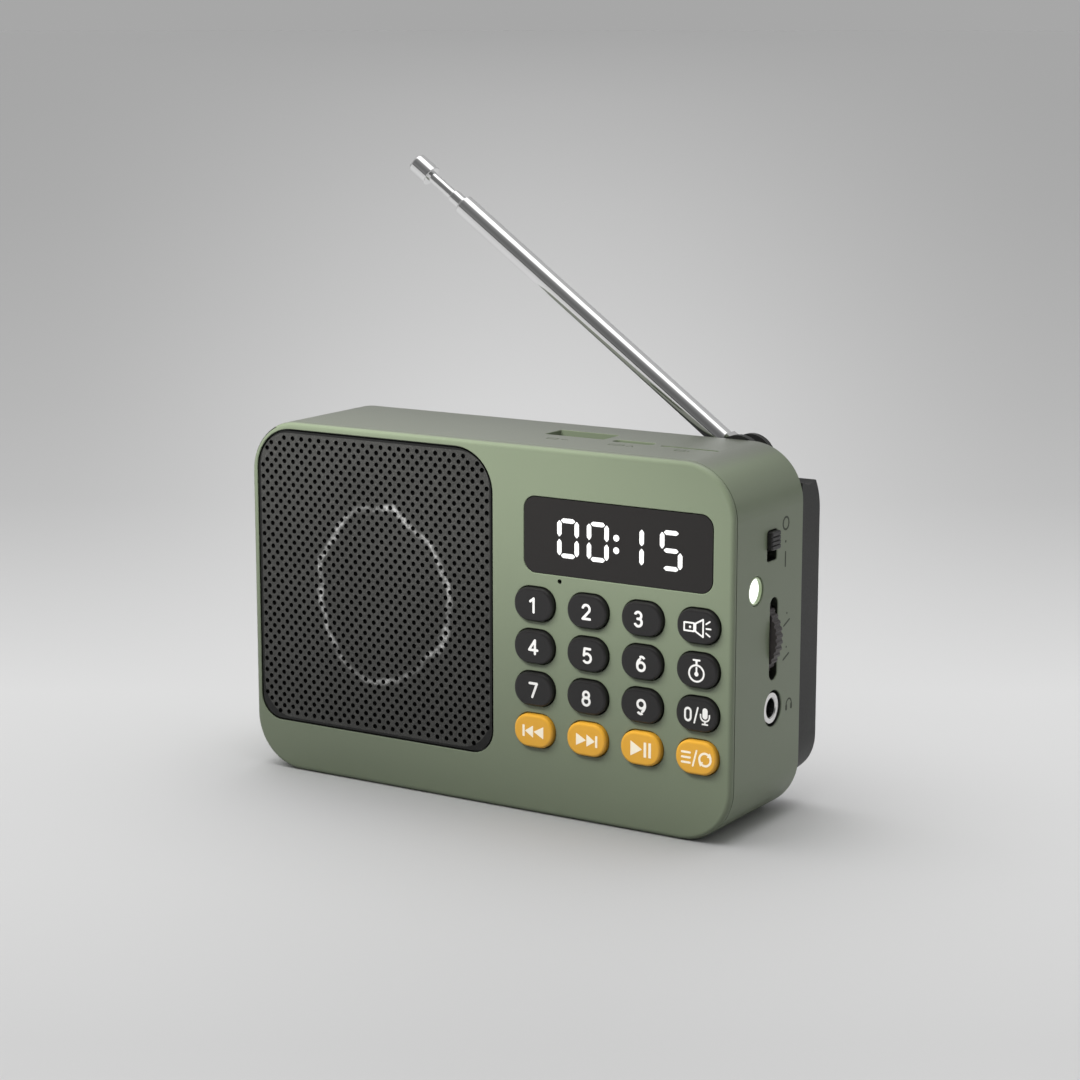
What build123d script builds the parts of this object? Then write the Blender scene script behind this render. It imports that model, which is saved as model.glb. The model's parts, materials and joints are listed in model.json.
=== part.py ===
from build123d import *
import math
import os

os.makedirs("parts", exist_ok=True)

# ---------------------------------------------------------------------------
# Tabletop radio. Millimetres. +X to the right seen from the front, +Y to the
# back, +Z up. The origin is the centre of the green case's underside.
# ---------------------------------------------------------------------------

# Case
CASE_W = 107.4          # width
CASE_H = 70.0           # height
CASE_D = 27.2           # depth of the green case
CORNER_R = 10.5         # corner radius seen from the front
WALL = 1.6              # shell wall
FRONT = -CASE_D / 2     # front plane
BACK = CASE_D / 2       # rear edge of the green shell
RIM = 1.0               # depth of the front panel's visible rim
SEAM = 0.25             # parting line between front panel and shell
PANEL_BACK = FRONT + 1.8
HALF = CASE_W / 2

# Rear cover
COVER_BACK = 21.0       # rear face of the bulge
LIP_T = 0.6             # thickness of the lip that covers the shell's rear edge
BULGE_Z0, BULGE_Z1 = 5.0, 63.0
BULGE_HALF = 53.4
EAR_BACK = 20.2          # rear face of the antenna's rear ear
CAVITY_BACK = 17.6

# Speaker grille
GR_X0, GR_X1 = -52.1, 2.4
GR_Z0, GR_Z1 = 10.1, 68.2
GR_R_TOP, GR_R_BOT = 8.0, 4.5
GR_PITCH_X, GR_PITCH_Z = 2.10, 2.30   # same-row and same-column spacing; rows are staggered
GR_HOLE_R = 0.475
GR_Y0, GR_Y1 = -13.40, -12.95
SPK_X, SPK_Z = -22.7, 38.0

# Display window
DS_X0, DS_X1 = 9.8, 49.4
DS_Z0, DS_Z1 = 46.4, 60.6
DS_R = 2.4

# Keypad
KEY_W, KEY_H = 8.45, 6.30
KEY_R = 3.0
KEY_PROUD = 1.0
KEY_X = [12.30, 23.85, 35.40, 46.95]
KEY_Z = [40.4, 32.3, 24.2, 16.15]
KEY_GAP = 0.15
KEY_TRAVEL = 0.6
KEYS = [
    ["key_1", "key_2", "key_3", "key_light"],
    ["key_4", "key_5", "key_6", "key_timer"],
    ["key_7", "key_8", "key_9", "key_zero"],
    ["key_prev", "key_next", "key_play_pause", "key_mode"],
]

# Main board
BD_Y0, BD_Y1 = -3.2, -1.6
BD_X0, BD_X1 = 5.0, 51.2
BD_Z0, BD_Z1 = 4.6, 66.0

# Right-hand side
TORCH_Y, TORCH_Z, TORCH_R = -4.9, 45.9, 2.75
SW_Y, SW_Z0, SW_Z1, SW_W = 1.15, 50.5, 56.2, 3.8
KNOB_Z0, KNOB_Z1, KNOB_W, KNOB_PROUD = 52.6, 56.05, 3.5, 0.95
SW_TRAVEL = 1.9
VOL_Y, VOL_Z, VOL_R, VOL_T = 2.3, 35.7, 9.0, 2.4
VOL_X = HALF + 1.3 - VOL_R
VOL_SLOT_W, VOL_SLOT_Z0, VOL_SLOT_Z1 = 3.1, 28.0, 43.5
JACK_Y, JACK_Z, JACK_R = 2.5, 22.55, 1.8

# Top sockets
USB_X, USB_Y, USB_W, USB_T = 12.25, 3.0, 12.9, 6.0
MU_X, MU_Y, MU_W, MU_T = 25.25, 0.10, 8.5, 2.4
TF_X, TF_Y, TF_W, TF_T = 37.55, -0.90, 11.9, 1.0
COLLAR_Z = 65.5          # green collars line the socket openings down to here
SOCKET_TOP = COLLAR_Z - 0.1

# Antenna
ANT = (39.7, 17.0, 65.6)                # pivot
ANT_ANGLE = 35.58                       # rest angle above horizontal, towards -X
ANT_R = [2.15, 1.775, 1.425, 1.10]      # outer radii of the four sections
ANT_TIP_R, ANT_TIP_L = 2.08, 4.5
ANT_S0 = 7.0                            # outer tube starts here, measured from the pivot
ANT_END = [77.9, 78.2, 80.9, 87.2]      # where each section ends
ANT_FOOT = [7.0, 12.0, 12.6, 13.2]      # where each section starts
EAR_R = 5.1
PIVOT_R = 1.25

# Battery
BAT = (-40.1, 12.9, 12.7, 18.3, 14.0, 48.0)   # x0 x1 y0 y1 z0 z1

# Case screws, board screws, speaker screws
CASE_SCREWS = [(-48.4, 57.0), (48.4, 57.0), (-47.4, 9.5), (47.4, 9.5)]
BOARD_SCREWS = [(10.0, 8.3), (44.0, 8.3), (8.0, 47.5), (47.6, 62.8)]
SPK_SCREWS = [(SPK_X + sx * 15.7, SPK_Z + sz * 15.7) for sx in (-1, 1) for sz in (-1, 1)]


# ---------------------------------------------------------------------------
# Helpers
# ---------------------------------------------------------------------------
def py(sketch, y0, y1):
    """Extrude a front-view sketch (x, z) from y0 to y1."""
    return extrude(Plane(origin=(0, y1, 0), x_dir=(1, 0, 0), z_dir=(0, -1, 0)) * sketch, amount=y1 - y0)


def px(sketch, x0, x1):
    """Extrude a side-view sketch (y, z) from x0 to x1."""
    return extrude(Plane(origin=(x0, 0, 0), x_dir=(0, 1, 0), z_dir=(1, 0, 0)) * sketch, amount=x1 - x0)


def pz(sketch, z0, z1):
    """Extrude a top-view sketch (x, y) from z0 to z1."""
    return extrude(Plane(origin=(0, 0, z0), x_dir=(1, 0, 0), z_dir=(0, 0, 1)) * sketch, amount=z1 - z0)


def rr(u0, u1, v0, v1, r):
    return Pos((u0 + u1) / 2, (v0 + v1) / 2) * RectangleRounded(u1 - u0, v1 - v0, r)


def rect(u0, u1, v0, v1):
    return Pos((u0 + u1) / 2, (v0 + v1) / 2) * Rectangle(u1 - u0, v1 - v0)


def rr2(u0, u1, v0, v1, r_top, r_bot):
    """Rectangle with one radius on the two upper corners, another on the lower."""
    s = rect(u0, u1, v0, v1)
    mid = (v0 + v1) / 2
    s = fillet([v for v in s.vertices() if v.Y > mid], r_top)
    return fillet([v for v in s.vertices() if v.Y < mid and min(abs(v.X - u0), abs(v.X - u1)) < 1e-6
                   and abs(v.Y - v0) < 1e-6], r_bot)


def circ(u, v, r):
    return Pos(u, v) * Circle(r)


def box(x0, x1, y0, y1, z0, z1):
    return Pos((x0 + x1) / 2, (y0 + y1) / 2, (z0 + z1) / 2) * Box(x1 - x0, y1 - y0, z1 - z0)


def case_contour(inset):
    return rr(-HALF + inset, HALF - inset, inset, CASE_H - inset, CORNER_R - inset)


def save(name, shape):
    if isinstance(shape, (list, tuple)):
        shape = Compound(children=list(shape))
    shape.label = name
    export_step(shape, f"parts/{name}.step")


# ---------------------------------------------------------------------------
# Case
# ---------------------------------------------------------------------------
def key_contour(x, z, grow):
    return Pos(x, z) * RectangleRounded(KEY_W + 2 * grow, KEY_H + 2 * grow, min(KEY_R + grow, KEY_H / 2 + grow - 0.02))


def front_panel():
    rim = py(case_contour(0), FRONT, FRONT + RIM)
    rim = fillet(rim.faces().sort_by(Axis.Y)[0].outer_wire().edges(), 0.9)
    plate = py(case_contour(WALL + 0.1), FRONT + RIM - 0.01, PANEL_BACK)
    tongue = py(case_contour(WALL + 0.1) - case_contour(WALL + 1.1), PANEL_BACK - 0.01, PANEL_BACK + 2.0)
    # The tongue stops short beside the last key column
    tongue -= box(48.5, 53.0, PANEL_BACK, PANEL_BACK + 3, 10.5, 46.0)
    p = rim + plate + tongue
    # Standoffs for the board and for the speaker
    for x, z in BOARD_SCREWS:
        p += py(circ(x, z, 2.1), PANEL_BACK - 0.1, BD_Y0)
    for x, z in SPK_SCREWS:
        p += py(circ(x, z, 1.9), PANEL_BACK - 0.1, -10.2)
    # Grille recess and the round speaker opening in its floor
    p -= py(rr2(GR_X0 - 0.35, GR_X1 + 0.35, GR_Z0 - 0.35, GR_Z1 + 0.35, GR_R_TOP + 0.35, GR_R_BOT + 0.35),
            FRONT - 1, -12.75)
    p -= py(circ(SPK_X, SPK_Z, 17.6), FRONT, PANEL_BACK + 1)
    # Window recess, with a smaller opening through its floor
    p -= py(rr(DS_X0 - 0.12, DS_X1 + 0.12, DS_Z0 - 0.12, DS_Z1 + 0.12, DS_R + 0.12), FRONT - 1, -12.5)
    p -= py(rr(DS_X0 + 1.4, DS_X1 - 1.4, DS_Z0 + 1.4, DS_Z1 - 1.4, 1.2), FRONT, PANEL_BACK + 1)
    # Key holes
    for row, z in enumerate(KEY_Z):
        for x in KEY_X:
            p -= py(key_contour(x, z, KEY_GAP), FRONT - 1, PANEL_BACK + 1)
    # Soft edges round the recesses and the key holes
    face = [f for f in p.faces() if f.geom_type == GeomType.PLANE and abs(f.center().Y - FRONT) < 1e-4][0]
    p = fillet([e for w in face.inner_wires() for e in w.edges()], 0.2)
    # Microphone hole
    p -= py(circ(17.5, 45.2, 0.45), FRONT - 1, PANEL_BACK + 1)
    for x, z in BOARD_SCREWS:
        p -= py(circ(x, z, 0.8), -9.0, BD_Y0 + 1)
    for x, z in SPK_SCREWS:
        p -= py(circ(x, z, 1.0), -12.5, -9)
    return p


def body_shell():
    outer = py(case_contour(0) - case_contour(WALL), FRONT + RIM + SEAM, BACK)
    inner_step = py(case_contour(1.0) - case_contour(WALL), FRONT + RIM, FRONT + RIM + SEAM + 0.01)
    s = outer + inner_step
    edges = [e for e in s.edges() if abs(e.center().Y - BACK) < 1e-6 and
             (abs(abs(e.center().X) - HALF) < 2.5 or e.center().Z < 2.5 or e.center().Z > CASE_H - 2.5)]
    outer_wire = [f for f in s.faces() if abs(f.center().Y - BACK) < 1e-6 and abs(f.normal_at().Y) > 0.9][0].outer_wire()
    s = fillet(outer_wire.edges(), 0.4)
    # Screw bosses on the side walls
    for x, z in CASE_SCREWS:
        side = 1 if x > 0 else -1
        s += py(circ(x, z, 2.9), 5.0, BACK)
        s += box(min(x, side * (HALF - 0.8)), max(x, side * (HALF - 0.8)), 5.0, BACK - 1.6, z - 1.2, z + 1.2)
    for x, z in CASE_SCREWS:
        s -= py(circ(x, z, 1.0), 4.0, BACK + 1)
    # Right-hand side: torch, switch, volume wheel, jack
    s -= px(circ(TORCH_Y, TORCH_Z, TORCH_R), HALF - 3, HALF + 1)
    s -= px(rr(SW_Y - SW_W / 2, SW_Y + SW_W / 2, SW_Z0, SW_Z1, 0.5), HALF - 3, HALF + 1)
    s -= px(Pos(VOL_Y, (VOL_SLOT_Z0 + VOL_SLOT_Z1) / 2)
            * RectangleRounded(VOL_SLOT_W, VOL_SLOT_Z1 - VOL_SLOT_Z0, VOL_SLOT_W / 2 - 0.02), HALF - 3, HALF + 1)
    s -= px(circ(JACK_Y, JACK_Z, 3.4), HALF - 3, HALF + 1)
    # Top: collars inside, then the three sockets
    s += pz(rect(USB_X - USB_W / 2 - 1.0, USB_X + USB_W / 2 + 1.0, USB_Y - USB_T / 2 - 0.9, USB_Y + USB_T / 2 + 0.9),
            COLLAR_Z, CASE_H - WALL + 0.1)
    s += pz(rect(MU_X - MU_W / 2 - 1.0, TF_X + TF_W / 2 + 0.9, BD_Y1 + 0.05, MU_Y + MU_T / 2 + 0.9),
            COLLAR_Z + 0.6, CASE_H - WALL + 0.1) & py(case_contour(WALL - 0.2), -5, 5)
    s -= pz(rr(USB_X - USB_W / 2, USB_X + USB_W / 2, USB_Y - USB_T / 2, USB_Y + USB_T / 2, 0.4), COLLAR_Z - 1, CASE_H + 1)
    s -= pz(rr(MU_X - MU_W / 2, MU_X + MU_W / 2, MU_Y - MU_T / 2, MU_Y + MU_T / 2, 0.9), COLLAR_Z - 1, CASE_H + 1)
    s -= pz(rr(TF_X - TF_W / 2, TF_X + TF_W / 2, TF_Y - TF_T / 2, TF_Y + TF_T / 2, 0.3), COLLAR_Z - 2, CASE_H + 1)
    # Soft edges round the openings
    side = [f for f in s.faces() if f.geom_type == GeomType.PLANE and abs(f.center().X - HALF) < 1e-4
            and f.normal_at().X > 0.9][0]
    s = fillet([e for w in side.inner_wires() for e in w.edges()], 0.2)
    top = [f for f in s.faces() if f.geom_type == GeomType.PLANE and abs(f.center().Z - CASE_H) < 1e-4
           and f.normal_at().Z > 0.9][0]
    s = fillet([e for w in top.inner_wires() for e in w.edges()], 0.15)
    return s


def bulge_solid():
    """Side profile (y, z) across the width: dished antenna channel on top, rear face that rounds over above."""
    line = [
        Line((BACK, 62.9), (14.0, 62.9)),
        ThreePointArc((14.0, 62.9), (16.5, 62.25), (19.1, 62.8)),
        ThreePointArc((19.1, 62.8), (20.512, 60.053), (COVER_BACK, 57.0)),
        Line((COVER_BACK, 57.0), (COVER_BACK, 9.5)),
        ThreePointArc((COVER_BACK, 9.5), (20.0, 6.4), (17.6, BULGE_Z0)),
        Line((17.6, BULGE_Z0), (BACK, BULGE_Z0)),
        Line((BACK, BULGE_Z0), (BACK, 62.9)),
    ]
    profile = make_face(line)
    b = px(Sketch() + profile, -BULGE_HALF, BULGE_HALF)
    b &= py(rr2(-BULGE_HALF, BULGE_HALF, BULGE_Z0 - 0.6, BULGE_Z1 + 6, 1.2, 9.0), BACK, COVER_BACK + 1)
    return b


def rear_cover():
    lip = py(case_contour(0.5), BACK, BACK + LIP_T)
    inner = py(case_contour(WALL + 0.1), BACK - 1.2, BACK + 0.01)
    for x, z in CASE_SCREWS:
        # The shell's screw bosses pass through the inner plate
        inner -= py(circ(x, z, 3.1) + rect(min(x, x * 1.12), max(x, x * 1.12), z - 1.5, z + 1.5), BACK - 3, BACK)
    c = lip + inner + bulge_solid()
    # Antenna ears: a front one that rises above the case, a rear one flush with the bulge
    c += py(circ(ANT[0], ANT[2], EAR_R), BACK + 0.1, 15.15)
    c += py(circ(ANT[0], ANT[2], 4.7) + rect(ANT[0] - 4.7, ANT[0] + 4.7, 52.0, ANT[2]), 18.85, EAR_BACK)
    # Room for the knuckle to turn
    c -= py(circ(ANT[0], ANT[2], 3.45), 15.15, 18.85)
    # Inner cavity, keeping the screw posts
    cav = rr(-49.4, 49.4, 7.0, 60.4, 4.0)
    for x, z in CASE_SCREWS:
        cav -= circ(x, z, 3.5)
    c -= py(cav, BACK - 3, CAVITY_BACK)
    # Battery tray
    bx0, bx1, by0, by1, bz0, bz1 = BAT
    c += box(bx0 - 1.9, bx1 + 2.7, by0 - 1.4, CAVITY_BACK + 0.1, bz0 - 1.7, bz1 + 1.7)
    c -= box(bx0 - 0.3, bx1 + 1.1, by0, COVER_BACK + 1, bz0 - 0.2, bz1 + 0.2)
    # Door channel: open at the bottom, with side grooves
    c -= box(bx0 - 3.9, bx1 + 4.7, 18.7, COVER_BACK + 1, 0.0, bz1 + 3.4)
    c -= box(bx0 - 5.1, bx1 + 5.9, 18.7, 19.55, 0.0, bz1 + 3.4)
    # Screw holes
    for x, z in CASE_SCREWS:
        c -= py(circ(x, z, 1.15), BACK - 3, COVER_BACK + 1)
        c -= py(circ(x, z, 2.05), 16.4, COVER_BACK + 1)
    # Pivot screw: threaded into the front ear, head sunk in the rear ear
    c -= py(circ(ANT[0], ANT[2], PIVOT_R + 0.02), 13.9, COVER_BACK + 1)
    c -= py(circ(ANT[0], ANT[2], 2.45), 19.55, COVER_BACK + 1)
    return c


def battery_door():
    bx0, bx1, by0, by1, bz0, bz1 = BAT
    d = box(bx0 - 3.7, bx1 + 4.5, 18.8, COVER_BACK + 1, 0.0, bz1 + 3.2) \
        + box(bx0 - 4.85, bx1 + 5.65, 18.8, 19.4, 6.2, bz1 + 3.2)
    d = d & bulge_solid()
    # Thumb ridges
    for i in range(5):
        z = bz1 - 2.0 - i * 1.5
        d += box(-19.6, -7.6, COVER_BACK - 0.2, COVER_BACK + 0.3, z - 0.35, z + 0.35)
    return d


def grille():
    outline = rr2(GR_X0, GR_X1, GR_Z0, GR_Z1, GR_R_TOP, GR_R_BOT)
    face = outline.faces()[0]
    cx, cz = (GR_X0 + GR_X1) / 2, (GR_Z0 + GR_Z1) / 2
    margin = 0.62
    holes = []

    def inside(x, z):
        u0, u1, v0, v1 = GR_X0 + margin, GR_X1 - margin, GR_Z0 + margin, GR_Z1 - margin
        if not (u0 <= x <= u1 and v0 <= z <= v1):
            return False
        r = (GR_R_TOP if z > cz else GR_R_BOT) - margin
        dx = max(u0 + r - x, x - (u1 - r), 0.0)
        dz = (v0 + r - z) if z < cz else (z - (v1 - r))
        return not (dx > 0 and dz > 0 and math.hypot(dx, dz) > r)

    nz = int((GR_Z1 - GR_Z0) / (GR_PITCH_Z / 2)) + 2
    nx = int((GR_X1 - GR_X0) / GR_PITCH_X) + 2
    for j in range(-nz, nz + 1):
        z = cz + j * GR_PITCH_Z / 2
        for i in range(-nx, nx + 1):
            x = cx + i * GR_PITCH_X + (GR_PITCH_X / 2 if j % 2 else 0.0)
            if inside(x, z):
                holes.append((x, z))
    inner = [Wire(Edge.make_circle(GR_HOLE_R, Plane(origin=(x, z, 0), z_dir=(0, 0, 1)))) for x, z in holes]
    perforated = Face(face.outer_wire(), inner)
    print("grille holes", len(holes))
    return py(Sketch() + perforated, GR_Y0, GR_Y1)


def key(x, z):
    cap = py(key_contour(x, z, 0), FRONT - KEY_PROUD, PANEL_BACK - 0.2)
    cap = fillet(cap.faces().sort_by(Axis.Y)[0].outer_wire().edges(), 0.55)
    neck = py(key_contour(x, z, 0), PANEL_BACK - 0.21, PANEL_BACK + 0.15)
    flange = py(rr(x - KEY_W / 2 - 0.5, x + KEY_W / 2 + 0.5, z - KEY_H / 2 - 0.5, z + KEY_H / 2 + 0.5, 1.2),
                PANEL_BACK + 0.10, PANEL_BACK + 0.95)
    stem = py(circ(x, z, 1.5), PANEL_BACK + 0.9, -8.15)
    return cap + neck + flange + stem


def tact_switch(x, z):
    return box(x - 2.25, x + 2.25, -6.6, BD_Y0, z - 2.25, z + 2.25) + py(circ(x, z, 1.1), -7.5, -6.5)


# ---------------------------------------------------------------------------
# Boards and sockets
# ---------------------------------------------------------------------------
def main_board():
    b = py(rr(BD_X0, BD_X1, BD_Z0, BD_Z1, 2.0), BD_Y0, BD_Y1)
    b -= py(rect(44.6, 60.0, TORCH_Z - 3.6, TORCH_Z + 3.6), BD_Y0 - 1, BD_Y1 + 1)
    b -= py(rect(46.0, 60.0, 65.0, 75.0), BD_Y0 - 1, BD_Y1 + 1)
    for x, z in BOARD_SCREWS:
        b -= py(circ(x, z, 1.1), BD_Y0 - 1, BD_Y1 + 1)
    # Keep the lower and upper right corners inside the shell's corner radius
    return b & py(case_contour(WALL + 0.4), BD_Y0 - 1, BD_Y1 + 1)


def board_chips():
    return [box(20.0, 28.0, BD_Y1, BD_Y1 + 1.6, 22.0, 30.0),
            box(9.5, 14.5, BD_Y1, BD_Y1 + 1.5, 34.0, 39.0),
            box(24.0, 30.0, BD_Y1, BD_Y1 + 1.4, 44.0, 48.0),
            py(circ(34.0, 14.0, 2.5), BD_Y1, BD_Y1 + 5.5)]


def usb_a():
    w, t, th = 13.1, 5.75, 0.3
    z0 = 52.6
    shell = pz(rr(USB_X - w / 2, USB_X + w / 2, USB_Y - t / 2, USB_Y + t / 2, 0.6)
               - rr(USB_X - w / 2 + th, USB_X + w / 2 - th, USB_Y - t / 2 + th, USB_Y + t / 2 - th, 0.35),
               z0, SOCKET_TOP)
    ins = box(USB_X - w / 2, USB_X + w / 2, BD_Y1, USB_Y + t / 2, 50.9, z0)
    ins += box(USB_X - w / 2, USB_X + w / 2, BD_Y1, USB_Y - t / 2, z0 - 0.1, 63.0)
    ins += box(USB_X - 5.55, USB_X + 5.55, 3.6, 5.4, z0 - 0.1, 64.0)
    return shell, ins


def micro_usb():
    w, t, th = 7.9, 2.7, 0.3
    z0 = 60.0
    shell = pz(rr(MU_X - w / 2, MU_X + w / 2, MU_Y - t / 2, MU_Y + t / 2, 0.7)
               - rr(MU_X - w / 2 + th, MU_X + w / 2 - th, MU_Y - t / 2 + th, MU_Y + t / 2 - th, 0.4),
               z0, SOCKET_TOP)
    ins = box(MU_X - w / 2, MU_X + w / 2, BD_Y1, MU_Y + t / 2, 58.7, z0)
    ins += box(MU_X - w / 2, MU_X + w / 2, BD_Y1, MU_Y - t / 2, z0 - 0.1, 63.0)
    ins += box(MU_X - 2.3, MU_X + 2.3, 0.25, 0.90, z0 - 0.1, 64.3)
    return shell, ins


def card_socket():
    x0, x1 = TF_X - 6.75, TF_X + 6.75
    s = box(x0, x1, BD_Y1, 0.3, 50.5, SOCKET_TOP)
    s -= box(TF_X - TF_W / 2, TF_X + TF_W / 2, TF_Y - TF_T / 2 + 0.02, TF_Y + TF_T / 2, 51.7, CASE_H)
    return s & py(case_contour(WALL + 0.3), -5, 5)


def jack():
    body = box(39.2, 51.9, BD_Y1, JACK_Y + 3.4, JACK_Z - 3.3, JACK_Z + 3.3)
    body -= px(circ(JACK_Y, JACK_Z, JACK_R), 40.4, 52.5)
    bush = px(circ(JACK_Y, JACK_Z, 3.05) - circ(JACK_Y, JACK_Z, JACK_R), 51.9, 53.3)
    edge = [e for e in bush.edges() if abs(e.center().X - 53.3) < 1e-6]
    bush = chamfer(edge, 0.2)
    return body, bush


def power_switch():
    body = box(45.6, 50.5, BD_Y1, 3.9, 48.4, 58.4)
    zc = (KNOB_Z0 + KNOB_Z1) / 2
    cap = px(rr(SW_Y - KNOB_W / 2, SW_Y + KNOB_W / 2, KNOB_Z0, KNOB_Z1, 0.4), HALF - 1.55, HALF + KNOB_PROUD)
    top = cap.faces().sort_by(Axis.X)[-1]
    cap = fillet(top.outer_wire().edges(), 0.3)
    foot = box(50.75, HALF - 1.7, SW_Y - 2.6, SW_Y + 2.6, KNOB_Z0 - 0.9, KNOB_Z1 + 0.9)
    cap += foot + px(rr(SW_Y - KNOB_W / 2, SW_Y + KNOB_W / 2, KNOB_Z0, KNOB_Z1, 0.4), HALF - 1.8, HALF - 1.5)
    # Two shallow grip grooves across the outer face
    for dz in (-0.8, 0.0, 0.8):
        cap -= box(HALF + KNOB_PROUD - 0.25, HALF + KNOB_PROUD + 1, SW_Y - 3, SW_Y + 3, zc + dz - 0.14, zc + dz + 0.14)
    return body, cap


def volume():
    n = 44
    rim = circ(VOL_X, VOL_Z, VOL_R)
    for i in range(n):
        a = 2 * math.pi * i / n
        rim -= circ(VOL_X + (VOL_R + 0.15) * math.cos(a), VOL_Z + (VOL_R + 0.15) * math.sin(a), 0.42)
    rim -= circ(VOL_X, VOL_Z, 1.56)
    wheel = py(rim, VOL_Y - VOL_T / 2, VOL_Y + VOL_T / 2)
    pot = box(VOL_X - 5.2, VOL_X + 4.9, BD_Y1, VOL_Y - VOL_T / 2 - 0.2, VOL_Z - 5.0, VOL_Z + 5.0)
    pot += py(circ(VOL_X, VOL_Z, 1.5), BD_Y1 + 0.5, VOL_Y + VOL_T / 2 + 0.1)
    pot -= py(circ(VOL_X, VOL_Z, 0.6), VOL_Y - 1.0, VOL_Y + 3)
    screw = py(circ(VOL_X, VOL_Z, 2.3), VOL_Y + VOL_T / 2 + 0.1, VOL_Y + VOL_T / 2 + 1.0) \
        + py(circ(VOL_X, VOL_Z, 0.58), VOL_Y - 0.9, VOL_Y + VOL_T / 2 + 0.2)
    screw -= py(rect(VOL_X - 1.4, VOL_X + 1.4, VOL_Z - 0.2, VOL_Z + 0.2) + rect(VOL_X - 0.2, VOL_X + 0.2, VOL_Z - 1.4, VOL_Z + 1.4),
                VOL_Y + VOL_T / 2 + 0.6, VOL_Y + 4)
    return wheel, pot, screw


def torch():
    led = px(circ(TORCH_Y, TORCH_Z, 2.55), 46.4, 52.9)
    # Clear collar round the lens, up to just under the case's face
    led += px(circ(TORCH_Y, TORCH_Z, 2.55) - circ(TORCH_Y, TORCH_Z, 2.35), 52.8, 53.5)
    led += px(circ(TORCH_Y, TORCH_Z, 2.85), 45.9, 46.9)
    holder = box(44.7, 45.9, TORCH_Y - 3.0, TORCH_Y + 3.0, TORCH_Z - 3.0, TORCH_Z + 3.0)
    return led, holder


# ---------------------------------------------------------------------------
# Speaker
# ---------------------------------------------------------------------------
def revolve_profile(points):
    """Revolve (radius, y) points about the speaker's axis, which runs along Y."""
    face = make_face(Polyline([(r, y) for r, y in points] + [points[0]]))
    solid = revolve(Plane.XY * face, axis=Axis.Y, revolution_arc=360)
    return Pos(SPK_X, 0, SPK_Z) * solid


def speaker():
    frame = revolve_profile([(17.8, -11.8), (20.2, -11.8), (20.2, -10.2), (18.9, -10.2), (12.6, -4.0), (12.6, -3.2),
                             (6.0, -3.2), (6.0, -4.0), (11.9, -4.0), (17.8, -9.8)])
    magnet = revolve_profile([(0.0, -3.2), (11.0, -3.2), (11.0, 2.4), (0.0, 2.4)])
    cone = revolve_profile([(17.7, -11.4), (17.7, -11.0), (16.4, -10.5), (5.6, -5.8), (5.6, -6.3), (15.0, -11.1),
                            (16.2, -11.6)])
    cap = revolve_profile([(0.0, -8.2), (2.6, -7.9), (4.6, -7.1), (5.6, -6.35), (5.6, -5.9), (4.4, -6.7), (2.5, -7.5),
                           (0.0, -7.8)])
    return frame, magnet, cone, cap


# ---------------------------------------------------------------------------
# Antenna. Built along +X from the pivot, then turned to its rest angle.
# ---------------------------------------------------------------------------
def along(solid):
    """A solid made along +X from the origin, placed on the antenna's line."""
    return Pos(*ANT) * Rot(0, 180 + ANT_ANGLE, 0) * solid


def rod_x(r, s0, s1):
    return extrude(Plane(origin=(s0, 0, 0), x_dir=(0, 1, 0), z_dir=(1, 0, 0)) * Circle(r), amount=s1 - s0)


def knuckle():
    k = rod_x(ANT_R[0], 5.4, ANT_S0)
    k += rod_x(1.75, ANT_S0 - 0.1, 11.0)
    blade = extrude(Plane(origin=(0, 1.7, 0), x_dir=(1, 0, 0), z_dir=(0, -1, 0))
                    * (Circle(3.1) + Pos(2.8, 0) * Rectangle(5.6, 4.3)), amount=3.4)
    k += blade
    k -= extrude(Plane(origin=(0, 4, 0), x_dir=(1, 0, 0), z_dir=(0, -1, 0)) * Circle(PIVOT_R + 0.05), amount=8)
    return along(k)


def section(i):
    """One tube: bore with a narrower collar at the mouth, and a flared foot."""
    s0, s1, ro = ANT_FOOT[i], ANT_END[i], ANT_R[i]
    bore = ANT_R[i + 1] + 0.15
    t = rod_x(ro, s0, s1)
    if i > 0:
        t += rod_x(ro + 0.10, s0, s0 + 3.0)
    t = fillet([e for e in t.edges() if abs(e.center().X - s1) < 1e-6], 0.12)
    t -= rod_x(bore, s0 - 1, s1 - 1.5)
    t -= rod_x(ANT_R[i + 1] + 0.05, s1 - 1.6, s1 + 1)
    return along(t)


def antenna_rod():
    r = rod_x(ANT_R[3], ANT_FOOT[3], ANT_END[3] + 1.6) + rod_x(ANT_R[3] + 0.10, ANT_FOOT[3], ANT_FOOT[3] + 3.0)
    return along(r)


def antenna_tip():
    s = ANT_END[3]
    t = rod_x(ANT_TIP_R, s, s + ANT_TIP_L)
    t = fillet([e for e in t.edges() if abs(e.center().X - s - ANT_TIP_L) < 1e-6], 0.45)
    t = fillet([e for e in t.edges() if abs(e.center().X - s) < 1e-6], 0.15)
    t -= rod_x(ANT_R[3] + 0.01, s - 1, s + 1.62)
    return along(t)


def pivot_screw():
    s = py(circ(ANT[0], ANT[2], PIVOT_R), 14.0, 19.7) + py(circ(ANT[0], ANT[2], 2.3), 19.6, 20.15)
    s -= py(rect(ANT[0] - 1.5, ANT[0] + 1.5, ANT[2] - 0.22, ANT[2] + 0.22)
            + rect(ANT[0] - 0.22, ANT[0] + 0.22, ANT[2] - 1.5, ANT[2] + 1.5), 19.85, 21)
    return s


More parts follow.
